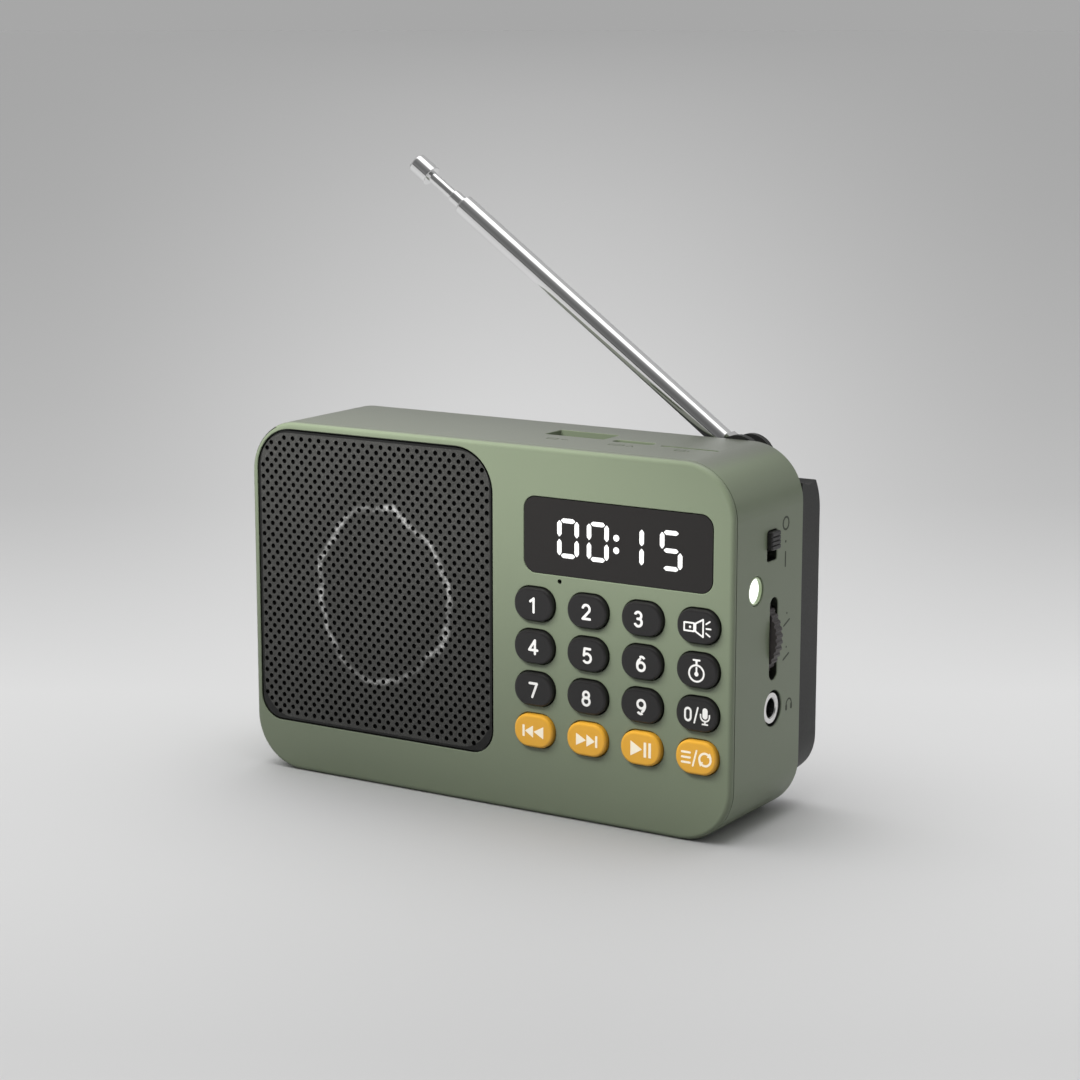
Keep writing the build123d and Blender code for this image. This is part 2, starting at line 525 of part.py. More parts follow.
def screw(x, z, y_head, head_r, head_t, shank_r, length, sign):
    """Pan-head screw along Y. sign +1: the head faces +Y."""
    if sign > 0:
        h = py(circ(x, z, head_r), y_head, y_head + head_t)
        h = fillet([e for e in h.edges() if abs(e.center().Y - y_head - head_t) < 1e-6], 0.3)
        s = h + py(circ(x, z, shank_r), y_head - length, y_head + 0.1)
        s -= py(rect(x - head_r * .6, x + head_r * .6, z - 0.2, z + 0.2)
                + rect(x - 0.2, x + 0.2, z - head_r * .6, z + head_r * .6), y_head + head_t - 0.6, y_head + head_t + 1)
    return s


# ---------------------------------------------------------------------------
# Write every node
# ---------------------------------------------------------------------------
save("front_panel", front_panel())
save("body_shell", body_shell())
save("rear_cover", rear_cover())
save("battery_door", battery_door())
save("speaker_grille", grille())
save("grille_cloth", py(rr2(GR_X0 + 0.3, GR_X1 - 0.3, GR_Z0 + 0.3, GR_Z1 - 0.3, GR_R_TOP - 0.3, GR_R_BOT - 0.3),
                        -12.87, -12.75))
save("display_lens", py(rr(DS_X0, DS_X1, DS_Z0, DS_Z1, DS_R), FRONT + 0.03, -12.5))
save("display_module", box(DS_X0 + 1.2, DS_X1 - 1.2, PANEL_BACK, -8.6, DS_Z0 + 0.8, DS_Z1 - 0.8))
for row, z in enumerate(KEY_Z):
    for col, x in enumerate(KEY_X):
        save(KEYS[row][col], key(x, z))
save("tact_switches", [tact_switch(x, z) for z in KEY_Z for x in KEY_X])
save("main_board", main_board())
save("board_chips", board_chips())
shell, ins = usb_a()
save("usb_a_shell", shell)
save("usb_a_insulator", ins)
shell, ins = micro_usb()
save("micro_usb_shell", shell)
save("micro_usb_insulator", ins)
save("card_socket", card_socket())
body, bush = jack()
save("headphone_jack_body", body)
save("headphone_jack_bush", bush)
body, cap = power_switch()
save("power_switch_body", body)
save("power_switch_knob", cap)
wheel, pot, vscrew = volume()
save("volume_wheel", wheel)
save("volume_pot", pot)
save("volume_screw", vscrew)
led, holder = torch()
save("torch_led", led)
save("torch_board", holder)
frame, magnet, cone, cap = speaker()
save("speaker_frame", frame)
save("speaker_magnet", magnet)
save("speaker_cone", cone)
save("speaker_dust_cap", cap)
save("battery_cell", fillet(box(*BAT).edges().filter_by(Axis.Y), 2.0))
save("battery_contacts", [box(BAT[1], BAT[1] + 1.05, 14.2, 16.8, z - 1.0, z + 1.0) for z in (20.0, 31.0, 42.0)])
save("microphone_capsule", py(circ(17.5, 45.72, 1.4), PANEL_BACK, PANEL_BACK + 1.6))
save("antenna_knuckle", knuckle())
for i in range(3):
    save(f"antenna_tube_{i + 1}", section(i))
save("antenna_rod", antenna_rod())
save("antenna_tip", antenna_tip())
save("antenna_pivot_screw", pivot_screw())
save("case_screws", [screw(x, z, 16.4, 1.9, 1.3, 0.95, 9.0, 1) for x, z in CASE_SCREWS])
save("board_screws", [screw(x, z, BD_Y1, 1.7, 1.1, 0.75, 6.0, 1) for x, z in BOARD_SCREWS])
save("speaker_screws", [screw(x, z, -10.2, 2.4, 1.0, 0.95, 2.2, 1) for x, z in SPK_SCREWS])
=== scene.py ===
import json
import math
import bpy
import bmesh
import numpy as np
from mathutils import Vector, Matrix


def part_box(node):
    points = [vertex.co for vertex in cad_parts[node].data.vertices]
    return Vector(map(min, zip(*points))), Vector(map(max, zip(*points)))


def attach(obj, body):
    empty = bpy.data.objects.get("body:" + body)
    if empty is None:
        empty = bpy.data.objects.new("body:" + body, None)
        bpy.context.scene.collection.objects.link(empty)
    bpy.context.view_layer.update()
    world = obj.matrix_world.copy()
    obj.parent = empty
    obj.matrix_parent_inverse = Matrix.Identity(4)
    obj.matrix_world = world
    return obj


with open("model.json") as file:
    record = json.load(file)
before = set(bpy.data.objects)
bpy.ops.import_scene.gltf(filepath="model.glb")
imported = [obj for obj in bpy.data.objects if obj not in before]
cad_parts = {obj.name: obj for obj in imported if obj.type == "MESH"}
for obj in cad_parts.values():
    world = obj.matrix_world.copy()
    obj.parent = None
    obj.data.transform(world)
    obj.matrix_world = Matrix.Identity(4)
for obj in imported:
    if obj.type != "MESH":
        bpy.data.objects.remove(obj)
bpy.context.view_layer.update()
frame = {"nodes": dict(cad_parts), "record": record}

MM = 0.001
CASE = "case"

scene = bpy.context.scene
scene.view_settings.view_transform = "Standard"
scene.view_settings.look = "None"


# ---------------------------------------------------------------------------
# Small node-graph helper
# ---------------------------------------------------------------------------
class Graph:
    def __init__(self, name):
        self.mat = bpy.data.materials.new(name)
        self.mat.use_nodes = True
        self.nt = self.mat.node_tree
        self.nt.nodes.clear()
        self.out = self.nt.nodes.new("ShaderNodeOutputMaterial")
        self.bsdf = self.nt.nodes.new("ShaderNodeBsdfPrincipled")
        self.nt.links.new(self.bsdf.outputs[0], self.out.inputs[0])
        self.coord = self.nt.nodes.new("ShaderNodeTexCoord").outputs["Object"]

    def node(self, kind, **props):
        n = self.nt.nodes.new(kind)
        for k, v in props.items():
            setattr(n, k, v)
        return n

    def link(self, a, b):
        self.nt.links.new(a, b)

    def feed(self, socket, value):
        if hasattr(value, "links"):
            self.link(value, socket)
        else:
            socket.default_value = value

    def noise(self, scale, detail=2.0, rough=0.5, coord=None, stretch=None, distortion=0.0):
        n = self.node("ShaderNodeTexNoise")
        n.inputs["Scale"].default_value = scale
        n.inputs["Detail"].default_value = detail
        n.inputs["Roughness"].default_value = rough
        n.inputs["Distortion"].default_value = distortion
        c = coord or self.coord
        if stretch:
            m = self.node("ShaderNodeMapping")
            m.inputs["Scale"].default_value = stretch
            self.link(c, m.inputs["Vector"])
            c = m.outputs[0]
        self.link(c, n.inputs["Vector"])
        return n.outputs["Fac"]

    def voronoi(self, scale, coord=None):
        n = self.node("ShaderNodeTexVoronoi")
        n.inputs["Scale"].default_value = scale
        self.link(coord or self.coord, n.inputs["Vector"])
        return n.outputs["Distance"]

    def math(self, op, a, b=0.0, c=0.0, clamp=False):
        n = self.node("ShaderNodeMath", operation=op, use_clamp=clamp)
        self.feed(n.inputs[0], a)
        self.feed(n.inputs[1], b)
        self.feed(n.inputs[2], c)
        return n.outputs[0]

    def ramp(self, value, lo, hi, out_lo=0.0, out_hi=1.0, smooth=True):
        n = self.node("ShaderNodeMapRange")
        n.interpolation_type = "SMOOTHSTEP" if smooth else "LINEAR"
        self.feed(n.inputs["Value"], value)
        for k, v in (("From Min", lo), ("From Max", hi), ("To Min", out_lo), ("To Max", out_hi)):
            n.inputs[k].default_value = v
        return n.outputs["Result"]

    def mix(self, fac, a, b):
        n = self.node("ShaderNodeMix", data_type="RGBA")
        self.feed(n.inputs[0], fac)
        self.feed(n.inputs[6], a)
        self.feed(n.inputs[7], b)
        return n.outputs[2]

    def split(self):
        n = self.node("ShaderNodeSeparateXYZ")
        self.link(self.coord, n.inputs[0])
        return n.outputs[0], n.outputs[1], n.outputs[2]

    def bump(self, *layers):
        """layers: (height, strength, distance in metres), stacked."""
        normal = None
        for height, strength, distance in layers:
            b = self.node("ShaderNodeBump")
            b.inputs["Strength"].default_value = strength
            b.inputs["Distance"].default_value = distance
            self.link(height, b.inputs["Height"])
            if normal is not None:
                self.link(normal, b.inputs["Normal"])
            normal = b.outputs[0]
        self.link(normal, self.bsdf.inputs["Normal"])

    def set(self, **sockets):
        for k, v in sockets.items():
            self.feed(self.bsdf.inputs[k.replace("_", " ")], v)
        return self.mat


def rgb(r, g, b):
    """sRGB bytes to linear."""
    def f(c):
        c /= 255.0
        return c / 12.92 if c <= 0.04045 else ((c + 0.055) / 1.055) ** 2.4
    return (f(r), f(g), f(b), 1.0)


def scaled(c, k):
    return (c[0] * k, c[1] * k, c[2] * k, 1.0)


def plastic(name, colour, rough=0.45, rough_var=0.06, tone=0.06, grain=4200.0, grain_depth=0.000012,
            grain_strength=0.35, speck=0.03, specular=0.5, mottle=35.0):
    """Moulded plastic: soft tone variation, fine eroded grain in bump and roughness."""
    g = Graph(name)
    broad = g.noise(mottle, 3.0)
    fine = g.noise(grain, 2.0, 0.6)
    base = g.mix(g.ramp(broad, 0.3, 0.7), scaled(colour, 1 - tone), scaled(colour, 1 + tone))
    base = g.mix(g.ramp(fine, 0.35, 0.75, 0.0, speck * 4), base, scaled(colour, 1.5))
    r = g.math("ADD", g.ramp(broad, 0.25, 0.75, rough - rough_var / 2, rough + rough_var / 2),
               g.ramp(fine, 0.3, 0.7, -rough_var / 2, rough_var / 2))
    g.bump((fine, grain_strength, grain_depth), (g.noise(260.0, 2.0), 0.12, 0.00003))
    g.set(Base_Color=base, Roughness=r, Specular_IOR_Level=specular)
    return g


# ---------------------------------------------------------------------------
# Materials
# ---------------------------------------------------------------------------
M = {}

GREEN = rgb(104, 113, 93)
g = plastic("case_green", GREEN, rough=0.36, rough_var=0.07, tone=0.03, grain=5200.0, grain_depth=0.000008,
            grain_strength=0.25, speck=0.010, specular=0.5, mottle=22.0)
# Painted shade: inside the openings the moulding is painted near-black where shade falls, on the side slots and on the
# walls round the grille, the window and the keys
sx, sy, sz = g.split()


def within(value, lo, hi):
    return g.math("MULTIPLY", g.math("GREATER_THAN", value, lo * MM), g.math("LESS_THAN", value, hi * MM))


def zone(*limits):
    out = None
    for value, (lo, hi) in zip((sx, sy, sz), limits):
        w = within(value, lo, hi)
        out = w if out is None else g.math("MULTIPLY", out, w)
    return out


# Painted shade: masks of the opening walls, darkened to stand in for their shadow
painted_recess_shade = g.math("ADD", zone((50.0, 53.52), (-1.7, 6.6), (18.5, 57.0)), zone((-52.6, 2.9), (-13.42, -12.0), (9.6, 68.7)))
painted_recess_shade = g.math("ADD", painted_recess_shade, zone((7.4, 51.8), (-13.40, -12.0), (12.4, 61.2)), clamp=True)
was = g.bsdf.inputs["Base Color"].links[0].from_socket
# Painted sheen and shade: faces that look up are dulled towards grey, standing in for the grazing reflection on the top
# and lowering its brightness
up = g.node("ShaderNodeNewGeometry")
painted_sheen_normal_z = g.node("ShaderNodeSeparateXYZ")
g.link(up.outputs["Normal"], painted_sheen_normal_z.inputs[0])
was = g.mix(g.ramp(painted_sheen_normal_z.outputs[2], 0.8, 0.99, 0.0, 0.85), was, rgb(90, 92, 85))
g.feed(g.bsdf.inputs["Base Color"], g.mix(g.math("MULTIPLY", painted_recess_shade, 0.9), was, rgb(14, 15, 13)))
M["case_green"] = g.mat

M["cover_black"] = plastic("cover_black", rgb(29, 29, 28), rough=0.52, rough_var=0.08, tone=0.06, grain=3600.0,
                           grain_depth=0.000022, grain_strength=0.5, speck=0.02).mat
M["key_black"] = plastic("key_black", rgb(25, 24, 24), rough=0.42, rough_var=0.08, tone=0.05, grain=6000.0,
                         grain_depth=0.000008, grain_strength=0.35, speck=0.02).mat
M["key_yellow"] = plastic("key_yellow", rgb(204, 151, 47), rough=0.36, rough_var=0.06, tone=0.03, grain=6000.0,
                          grain_depth=0.000006, grain_strength=0.3, speck=0.004).mat
M["knob_black"] = plastic("knob_black", rgb(33, 32, 32), rough=0.45, grain=6000.0, grain_depth=0.00001).mat
M["wheel_black"] = plastic("wheel_black", rgb(62, 58, 58), rough=0.5, rough_var=0.1, grain=5000.0,
                           grain_depth=0.000015, speck=0.04).mat
M["socket_plastic"] = plastic("socket_plastic", rgb(20, 20, 20), rough=0.5, grain=5000.0).mat
M["switch_black"] = plastic("switch_black", rgb(26, 26, 26), rough=0.5, grain=5000.0).mat
M["chip_black"] = plastic("chip_black", rgb(28, 28, 30), rough=0.6, grain=9000.0, grain_depth=0.00001).mat
M["module_white"] = plastic("module_white", rgb(224, 224, 218), rough=0.5, grain=5000.0).mat
M["battery_wrap"] = plastic("battery_wrap", rgb(52, 74, 120), rough=0.28, grain=900.0, grain_depth=0.00002).mat
M["legend_white"] = plastic("legend_white", rgb(214, 213, 210), rough=0.5, tone=0.02, grain=9000.0,
                            grain_depth=0.000004, speck=0.0).mat
M["legend_cream"] = plastic("legend_cream", rgb(232, 222, 200), rough=0.5, tone=0.02, grain=9000.0,
                            grain_depth=0.000004, speck=0.0).mat
M["mark_dark"] = plastic("mark_dark", rgb(50, 55, 43), rough=0.62, tone=0.08, grain=7000.0, speck=0.0).mat
M["mark_soft"] = plastic("mark_soft", rgb(74, 79, 66), rough=0.62, tone=0.06, grain=7000.0, speck=0.0).mat


def grille_metal():
    """Powder-coated perforated steel: fine orange peel, dust in the grain, and a faint lighter ring over the speaker,
    drawn as rubbed paint with a painted highlight where an unmodelled embossed edge would catch light.
    """
    g = Graph("grille_metal")
    x, y, z = g.split()
    fine = g.noise(5200.0, 3.0, 0.65)
    mid = g.noise(900.0, 3.0, 0.6)
    broad = g.noise(40.0, 2.0)
    base = g.mix(g.ramp(broad, 0.3, 0.7), rgb(49, 49, 47), rgb(56, 56, 54))
    base = g.mix(g.ramp(fine, 0.50, 0.74, 0.0, 0.55), base, rgb(108, 107, 104))
    # Ring of rubbed paint and painted highlight: an uneven oval, broken up by noise
    dx = g.math("MULTIPLY", g.math("SUBTRACT", x, -0.0229), 1 / 0.0146)
    dz = g.math("MULTIPLY", g.math("SUBTRACT", z, 0.0379), 1 / 0.0167)
    rad = g.math("SQRT", g.math("ADD", g.math("MULTIPLY", dx, dx), g.math("MULTIPLY", dz, dz)))
    wob = g.ramp(g.noise(110.0, 2.0), 0.3, 0.7, -0.095, 0.095, smooth=False)
    off = g.math("ABSOLUTE", g.math("SUBTRACT", g.math("ADD", rad, wob), 1.0))
    band = g.ramp(off, 0.006, 0.062, 1.0, 0.0)
    patch = g.ramp(g.noise(170.0, 2.0), 0.36, 0.56, 0.35, 1.0)
    crumbs = g.ramp(mid, 0.40, 0.62, 0.25, 1.0)
    ring_rub_and_highlight = g.math("MULTIPLY", g.math("MULTIPLY", band, patch), crumbs, clamp=True)
    base = g.mix(g.math("MULTIPLY", ring_rub_and_highlight, 0.72), base, rgb(186, 186, 184))
    rough = g.math("ADD", g.ramp(mid, 0.3, 0.7, 0.40, 0.54), g.math("MULTIPLY", ring_rub_and_highlight, -0.08))
    # Painted shade: the turned-in edge all round is painted black where the gap round the grille lies in shadow
    lo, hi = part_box("speaker_grille")
    r = 0.0072
    q = []
    for value, k in ((x, 0), (z, 2)):
        centre, half = (lo[k] + hi[k]) / 2, (hi[k] - lo[k]) / 2
        q.append(g.math("SUBTRACT", g.math("ABSOLUTE", g.math("SUBTRACT", value, centre)), half - r))
    px_, pz_ = (g.math("MAXIMUM", v, 0.0) for v in q)
    outside = g.math("SQRT", g.math("ADD", g.math("MULTIPLY", px_, px_), g.math("MULTIPLY", pz_, pz_)))
    dist = g.math("SUBTRACT", g.math("ADD", outside, g.math("MINIMUM", g.math("MAXIMUM", q[0], q[1]), 0.0)), r)
    painted_rim_shade = g.ramp(dist, -0.00048, -0.00036)
    base = g.mix(g.math("MULTIPLY", painted_rim_shade, 0.85), base, rgb(8, 8, 8))
    # Painted shade: the hole walls behind the grille face are painted black
    base = g.mix(g.math("MULTIPLY", g.math("GREATER_THAN", y, -0.01337), 0.92), base, rgb(8, 8, 8))
    g.bump((fine, 0.45, 0.00002), (mid, 0.18, 0.00004))
    g.set(Base_Color=base, Roughness=rough, Metallic=0.25, Specular_IOR_Level=0.5)
    return g.mat


def display_window():
    g = Graph("display_window")
    fine = g.noise(7000.0, 2.0)
    broad = g.noise(30.0, 2.0)
    base = g.mix(broad, rgb(22, 20, 19), rgb(26, 24, 23))
    g.bump((fine, 0.12, 0.000006))
    g.set(Base_Color=base, Roughness=g.ramp(broad, 0.3, 0.7, 0.34, 0.40), Specular_IOR_Level=0.45)
    return g.mat


def digit_white():
    g = Graph("digit_lit")
    n = g.noise(1800.0, 2.0)
    base = g.mix(n, rgb(206, 206, 204), rgb(220, 220, 218))
    g.set(Base_Color=base, Roughness=g.ramp(n, 0.3, 0.7, 0.42, 0.5))
    g.bsdf.inputs["Emission Color"].default_value = (1.0, 1.0, 0.98, 1.0)
    g.bsdf.inputs["Emission Strength"].default_value = 0.22
    return g.mat


def torch_lens():
    g = Graph("torch_lens")
    n = g.noise(600.0, 2.0)
    base = g.mix(n, rgb(236, 240, 236), rgb(246, 248, 244))
    g.bump((g.noise(2500.0), 0.1, 0.00001))
    x, y, z = g.split()
    # Painted light: the collar round the lens is painted a lighter green and glows, standing in for the LED's light on
    # the wall around it
    collar_painted_glow = g.ramp(x, 0.05292, 0.05300)
    g.set(Base_Color=g.mix(collar_painted_glow, base, rgb(132, 146, 112)), Roughness=g.ramp(n, 0.3, 0.7, 0.16, 0.24))
    g.feed(g.bsdf.inputs["Emission Color"], g.mix(collar_painted_glow, (0.93, 0.97, 0.94, 1.0), rgb(66, 78, 52)))
    g.bsdf.inputs["Emission Strength"].default_value = 0.95
    g.bsdf.inputs["Coat Weight"].default_value = 0.4
    g.bsdf.inputs["Coat Roughness"].default_value = 0.08
    return g.mat


def chrome(name, colour=(0.80, 0.80, 0.80, 1.0), rough=0.07, drawn=(1.0, 1.0, 1.0), grain=700.0):
    """Plated metal: faint drawing lines and small changes of gloss."""
    g = Graph(name)
    lines = g.noise(grain, 3.0, 0.6, stretch=drawn)
    smear = g.noise(120.0, 2.0)
    base = g.mix(g.ramp(smear, 0.3, 0.7), scaled(colour, 0.97), colour)
    g.bump((lines, 0.06, 0.00001))
    g.set(Base_Color=base, Metallic=1.0, Roughness=g.ramp(smear, 0.25, 0.75, rough * 0.8, rough * 1.4))
    return g.mat


def board():
    """Solder mask with faint copper tracks under it."""
    g = Graph("board_green")
    x, y, z = g.split()
    tracks = g.node("ShaderNodeTexBrick")
    tracks.inputs["Scale"].default_value = 160.0
    comb = g.node("ShaderNodeCombineXYZ")
    g.link(x, comb.inputs[0]); g.link(z, comb.inputs[1])
    g.link(comb.outputs[0], tracks.inputs["Vector"])
    fac = tracks.outputs["Fac"]
    base = g.mix(fac, rgb(16, 74, 38), rgb(30, 98, 52))
    g.bump((fac, 0.3, 0.00003), (g.noise(900.0), 0.1, 0.00002))
    g.set(Base_Color=base, Roughness=g.ramp(g.noise(300.0), 0.3, 0.7, 0.25, 0.35))
    return g.mat


def cloth():
    """Fine woven dust cloth."""
    g = Graph("cloth")
    x, y, z = g.split()
    wx = g.math("SINE", g.math("MULTIPLY", x, 2 * math.pi / 0.00032))
    wz = g.math("SINE", g.math("MULTIPLY", z, 2 * math.pi / 0.00032))
    weave = g.math("MULTIPLY", wx, wz)
    base = g.mix(g.ramp(weave, -1, 1), rgb(4, 4, 4), rgb(14, 14, 14))
    g.bump((weave, 0.5, 0.00004))
    g.set(Base_Color=base, Roughness=g.ramp(weave, -1, 1, 0.85, 0.95), Specular_IOR_Level=0.15)
    return g.mat


M["grille_metal"] = grille_metal()
M["display_window"] = display_window()
M["digit_lit"] = digit_white()
M["torch_lens"] = torch_lens()
M["antenna_chrome"] = chrome("antenna_chrome", (0.86, 0.86, 0.86, 1), 0.06, (1, 1, 1), 900.0)
M["bright_metal"] = chrome("bright_metal", (0.74, 0.73, 0.72, 1), 0.20, (1, 1, 1), 1500.0)
M["socket_steel"] = chrome("socket_steel", (0.55, 0.55, 0.56, 1), 0.26, (1, 1, 6), 1200.0)
M["screw_steel"] = chrome("screw_steel", (0.42, 0.42, 0.43, 1), 0.30, (1, 6, 1), 1500.0)
M["brass_contacts"] = chrome("brass_contacts", (0.86, 0.62, 0.27, 1), 0.22, (1, 1, 5), 1200.0)
M["speaker_frame"] = plastic("speaker_frame", rgb(34, 34, 35), rough=0.4, grain=2500.0, grain_depth=0.00002).mat
M["magnet"] = plastic("magnet", rgb(58, 58, 60), rough=0.7, grain=1800.0, grain_depth=0.00004, tone=0.12).mat
M["cone_paper"] = plastic("cone_paper", rgb(30, 29, 28), rough=0.85, grain=1500.0, grain_depth=0.00005, tone=0.15,
                          specular=0.2).mat
M["board_green"] = board()
M["cloth"] = cloth()

# Every CAD node takes the material of its slot
slot_of = {s["node"]: s["material_slot"] for s in frame["record"]["subparts"]}
for node_name, obj in frame["nodes"].items():
    mat = M[slot_of[node_name]]
    obj.data.materials.clear()
    obj.data.materials.append(mat)


# ---------------------------------------------------------------------------
# Flat marks: signed-distance shapes cut out of a fine grid, or font outlines
# ---------------------------------------------------------------------------
def seg(u, v, a, b, r):
    """Distance to a round-ended stroke from a to b of radius r."""
    ax, ay = a; bx, by = b
    dx, dy = bx - ax, by - ay
    t = np.clip(((u - ax) * dx + (v - ay) * dy) / (dx * dx + dy * dy + 1e-12), 0, 1)
    return np.hypot(u - ax - t * dx, v - ay - t * dy) - r


def poly_line(u, v, pts, r, closed=False):
    pts = list(pts) + ([pts[0]] if closed else [])
    d = seg(u, v, pts[0], pts[1], r)
    for a, b in zip(pts[1:-1], pts[2:]):
        d = np.minimum(d, seg(u, v, a, b, r))
    return d


def disc(u, v, c, r):
    return np.hypot(u - c[0], v - c[1]) - r


def ring(u, v, c, r, w):
    return np.abs(np.hypot(u - c[0], v - c[1]) - r) - w / 2


def arc(u, v, c, r, w, a0, a1):
    """Part of a ring, from angle a0 to a1 in degrees, anticlockwise."""
    mid = math.radians((a0 + a1) / 2); half = math.radians((a1 - a0) / 2)
    ang = np.arctan2(v - c[1], u - c[0]) - mid
    ang = np.abs((ang + np.pi) % (2 * np.pi) - np.pi)
    body = np.abs(np.hypot(u - c[0], v - c[1]) - r) - w / 2
    return np.maximum(body, (ang - half) * r)


def rbox(u, v, c, hw, hh, r=0.05):
    qx = np.abs(u - c[0]) - hw + r
    qy = np.abs(v - c[1]) - hh + r
    return np.hypot(np.maximum(qx, 0), np.maximum(qy, 0)) + np.minimum(np.maximum(qx, qy), 0) - r


def convex(u, v, pts, r=0.06):
    """Convex polygon (anticlockwise points), corners left sharp; r is not used."""
    d = None
    for (ax, ay), (bx, by) in zip(pts, pts[1:] + pts[:1]):
        nx, ny = by - ay, -(bx - ax)
        n = math.hypot(nx, ny)
        e = ((u - ax) * nx + (v - ay) * ny) / n
        d = e if d is None else np.maximum(d, e)
    return d + 0.0 * r


def union(*ds):
    d = ds[0]
    for e in ds[1:]:
        d = np.minimum(d, e)
    return d


def grid_shape(f, u0, u1, v0, v1, step):
    """Vertices and faces of the region where f < 0, cut along the zero line."""
    us = np.arange(u0, u1 + step, step)
    vs = np.arange(v0, v1 + step, step)
    U, V = np.meshgrid(us, vs)
    D = f(U, V)
    D = np.where(np.abs(D) < 1e-6, 1e-6, D)
    verts, index, faces = [], {}, []
    nu = len(us)

    def corner(i, j):
        k = ("n", i, j)
        if k not in index:
            index[k] = len(verts)
            verts.append((us[i], vs[j]))
        return index[k]

    def crossing(a, b):
        k = ("e",) + (a + b if a < b else b + a)
        if k not in index:
            da, db = D[a[1], a[0]], D[b[1], b[0]]
            t = da / (da - db)
            index[k] = len(verts)
            verts.append((us[a[0]] + t * (us[b[0]] - us[a[0]]), vs[a[1]] + t * (vs[b[1]] - vs[a[1]])))
        return index[k]

    neg = D < 0
    some = neg[:-1, :-1] | neg[1:, :-1] | neg[:-1, 1:] | neg[1:, 1:]
    for j, i in zip(*np.nonzero(some)):
        i, j = int(i), int(j)
        quad = [(i, j), (i + 1, j), (i + 1, j + 1), (i, j + 1)]
        if all(neg[q[1], q[0]] for q in quad):
            faces.append([corner(*q) for q in quad])
            continue
        for tri in ((quad[0], quad[1], quad[2]), (quad[0], quad[2], quad[3])):
            out = []
            for a, b in zip(tri, tri[1:] + tri[:1]):
                if neg[a[1], a[0]]:
                    out.append(corner(*a))
                if neg[a[1], a[0]] != neg[b[1], b[0]]:
                    out.append(crossing(a, b))
            if len(out) >= 3:
                faces.append(out)
    return verts, faces


def solid_from(verts, faces, place, thick):
    """A thin closed solid: the flat shape as its face, walls along its outline, and a back."""
    bm = bmesh.new()
    bv = [bm.verts.new((p[0], p[1], 0.0)) for p in verts]
    for f in faces:
        try:
            bm.faces.new([bv[k] for k in f])
        except ValueError:
            pass
    bmesh.ops.remove_doubles(bm, verts=bm.verts, dist=1e-5)
    bmesh.ops.dissolve_limit(bm, angle_limit=math.radians(1.0), verts=bm.verts, edges=bm.edges)
    loose = [v for v in bm.verts if not v.link_faces]
    bmesh.ops.delete(bm, geom=loose, context="VERTS")
    top = list(bm.faces)
    res = bmesh.ops.extrude_face_region(bm, geom=top)
    for e in res["geom"]:
        if isinstance(e, bmesh.types.BMVert):
            e.co.z += thick
    bmesh.ops.recalc_face_normals(bm, faces=bm.faces)
    bmesh.ops.triangulate(bm, faces=bm.faces)
    for v in bm.verts:
        v.co = place(v.co.x, v.co.y, v.co.z)
    bmesh.ops.recalc_face_normals(bm, faces=bm.faces)
    return bm


def add_piece(name, bm, material, body):
    me = bpy.data.meshes.new(name)
    bm.to_mesh(me)
    bm.free()
    ob = bpy.data.objects.new(name, me)
    scene.collection.objects.link(ob)
    me.materials.append(material)
    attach(ob, body)
    return ob


def on_front(cx, cz, y):
    return lambda u, v, w: Vector(((cx + u) * MM, (y - w) * MM, (cz + v) * MM))


def on_right(cy, cz, x):
    return lambda u, v, w: Vector(((x + w) * MM, (cy + u) * MM, (cz + v) * MM))


def on_top(cx, cy, z):
    return lambda u, v, w: Vector(((cx + u) * MM, (cy + v) * MM, (z + w) * MM))


def on_back(cx, cz, y):
    return lambda u, v, w: Vector(((cx - u) * MM, (y + w) * MM, (cz + v) * MM))


def icon(name, f, half_u, half_v, place, material, body, step=0.075, thick=0.02):
    verts, faces = grid_shape(f, -half_u, half_u, -half_v, half_v, step)
    return add_piece(name, solid_from(verts, faces, place, thick), material, body)


# Numbers as strokes on a 2.1 x 3.1 mm body: straight runs and arcs (centre, radius, from, to in degrees)
STROKE = 0.235
NUMBERS = {
    "0": [("loop", 0.0, 0.0, 0.72, 1.28)],
    "1": [("line", (0.22, -1.28), (0.22, 1.28)), ("line", (0.22, 1.22), (-0.50, 0.72))],
    "2": [("arc", (0.0, 0.56), 0.72, -38, 178), ("line", (0.57, 0.12), (-0.70, -1.26)), ("line", (-0.74, -1.28), (0.78, -1.28))],
    "3": [("arc", (-0.02, 0.64), 0.64, -80, 165), ("arc", (0.0, -0.58), 0.71, -165, 80), ("line", (-0.14, 0.05), (0.12, 0.05))],
    "4": [("line", (0.36, -1.28), (0.36, 1.25)), ("line", (0.34, 1.22), (-0.86, -0.56)), ("line", (-0.86, -0.60), (0.88, -0.60))],
    "5": [("line", (0.68, 1.28), (-0.50, 1.28)), ("line", (-0.50, 1.28), (-0.66, 0.02)), ("arc", (0.0, -0.46), 0.82, -150, 142)],
    "6": [("ring", (0.0, -0.50), 0.76), ("arc", (0.62, -0.28), 1.40, 118, 188), ("arc", (0.10, 0.62), 0.66, 30, 125)],
    "7": [("line", (-0.78, 1.28), (0.76, 1.28)), ("line", (0.76, 1.22), (-0.22, -1.28))],
    "8": [("ring", (0.0, 0.64), 0.60), ("ring", (0.0, -0.56), 0.72)],
    "9": [],
}
NUMBERS["9"] = [(k, (-a[0], -a[1]), r, *[q + 180 for q in rest]) for k, a, r, *rest in NUMBERS["6"]]


